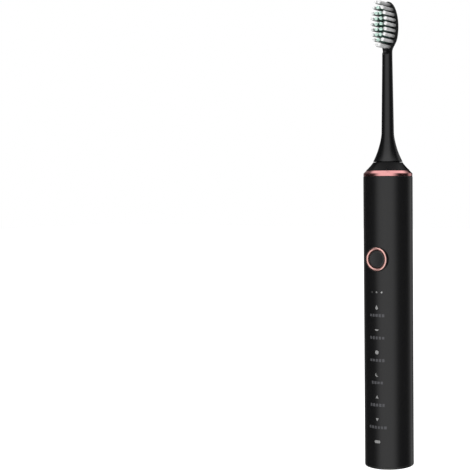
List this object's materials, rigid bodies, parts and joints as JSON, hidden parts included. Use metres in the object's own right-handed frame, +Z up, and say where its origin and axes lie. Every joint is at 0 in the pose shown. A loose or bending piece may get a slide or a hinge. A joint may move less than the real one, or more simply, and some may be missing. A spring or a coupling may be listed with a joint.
{
  "type": "electric toothbrush",
  "caption": "Cordless sonic toothbrush: cylindrical sealed handle with power button, level and mode windows, trim ring and a pull-off brush head with oval bristle plate.",
  "frame": {"origin": "mouth of the charging socket, on the handle's axis, in the plane the base stands on", "axes": "+Z up the drive shaft towards the brush head, -Y towards the front with the button and the bristles, +X to the right of the button"},
  "size_m": [0.0264, 0.0269, 0.2492],
  "materials": {
    "housing_black": "soft-touch satin black coating on a moulded tube",
    "cap_black": "black moulded plastic, satin gloss",
    "rose_gold": "anodised rose gold, fine turned finish",
    "button_black": "dark grey moulded plastic, satin, slightly dished",
    "silicone": "grey silicone rubber",
    "steel": "stainless steel, ground or stamped",
    "bronze": "sintered bronze, oiled",
    "copper": "enamelled copper winding",
    "steel_laminated": "stacked steel laminations, bare edges",
    "magnet": "nickel plated magnet",
    "frame_grey": "grey glass-filled nylon",
    "nylon_dark": "dark moulded nylon",
    "nylon_cream": "cream moulded nylon",
    "lens_grey": "frosted grey light pipe",
    "board_green": "green solder mask on glass fibre board",
    "chip_black": "black moulded package with tinned legs",
    "ceramic_parts": "small ceramic and film components",
    "led_white": "white light emitting diode packages",
    "cell_can": "nickel plated steel can",
    "cell_roll": "tightly rolled foils",
    "sleeve_blue": "blue shrink sleeve",
    "nickel_strip": "nickel strip, spot welded",
    "foam_dark": "black foam pad",
    "lead_red": "red silicone insulated lead",
    "lead_black": "black silicone insulated lead",
    "head_black": "black moulded plastic, semi-gloss",
    "insert_grey": "natural acetal",
    "bristle_white": "white nylon filament tufts with end-rounded tips",
    "bristle_green": "mint green nylon filament tufts with end-rounded tips",
    "anchor_brass": "stamped brass anchor strip"
  },
  "bodies": {
    "handle": {"housing": "housing_black", "trim_ring": "rose_gold", "shoulder_cap": "cap_black", "shoulder_o_ring": "silicone", "shaft_seal": "silicone", "seal_retainer": "steel", "base_cap": "cap_black", "base_o_ring": "silicone", "button_bezel": "rose_gold", "button_seal": "silicone", "seal_clamp": "frame_grey", "switch_body": "steel", "light_guide": "lens_grey", "light_shield": "nylon_dark", "indicator_leds": "led_white", "circuit_board": "board_green", "controller_chip": "chip_black", "board_parts": "ceramic_parts", "board_screws": "steel", "inner_frame": "frame_grey", "cell_can": "cell_can", "cell_cap": "steel", "cell_core": "cell_roll", "cell_sleeve": "sleeve_blue", "cell_contacts": "nickel_strip", "cell_pads": "foam_dark", "coil_former": "nylon_dark", "charging_coil": "copper", "coil_leads": "lead_red", "motor_can": "steel", "motor_front_cover": "steel", "motor_rear_cover": "steel", "front_bush": "bronze", "rear_bush": "bronze", "stator_core": "steel_laminated", "winding_formers": "nylon_cream", "stator_windings": "copper", "motor_leads": "lead_black", "motor_screws": "steel", "motor_damper": "silicone", "return_spring": "steel"},
    "drive": {"drive_shaft": "steel", "rotor_core": "steel_laminated", "rotor_magnets": "magnet", "shaft_clips": "steel"},
    "head": {"brush_stem": "head_black", "stem_insert": "insert_grey", "insert_clip": "steel", "white_tufts": "bristle_white", "green_tufts": "bristle_green", "tuft_anchors": "anchor_brass"},
    "button": {"button_cap": "button_black"},
    "plunger": {"switch_plunger": "chip_black"}
  },
  "joints": [
    {"name": "shaft_swing", "type": "hinge", "parent": "handle", "child": "drive", "pos_m": [0, 0, 0.15], "axis": [0, 0, 1], "range_deg": [-5, 5], "stiffness_Nm_per_rad": 0.05, "deforming": ["return_spring"]},
    {"name": "head_pull", "type": "slide", "parent": "drive", "child": "head", "axis": [0, 0, 1], "range_m": [0, 0.03], "deforming": ["insert_clip"]},
    {"name": "button_press", "type": "slide", "parent": "handle", "child": "button", "axis": [0, 1, 0], "range_m": [0, 0.0004], "stiffness_N_per_m": 1500, "springref_m": -0.0002, "deforming": ["button_seal"]},
    {"name": "plunger_press", "type": "slide", "parent": "handle", "child": "plunger", "axis": [0, 1, 0], "range_m": [0, 0.0004]}
  ],
  "couplings": [
    {"joint": "plunger_press", "follows": "button_press", "ratio": 1}
  ]
}
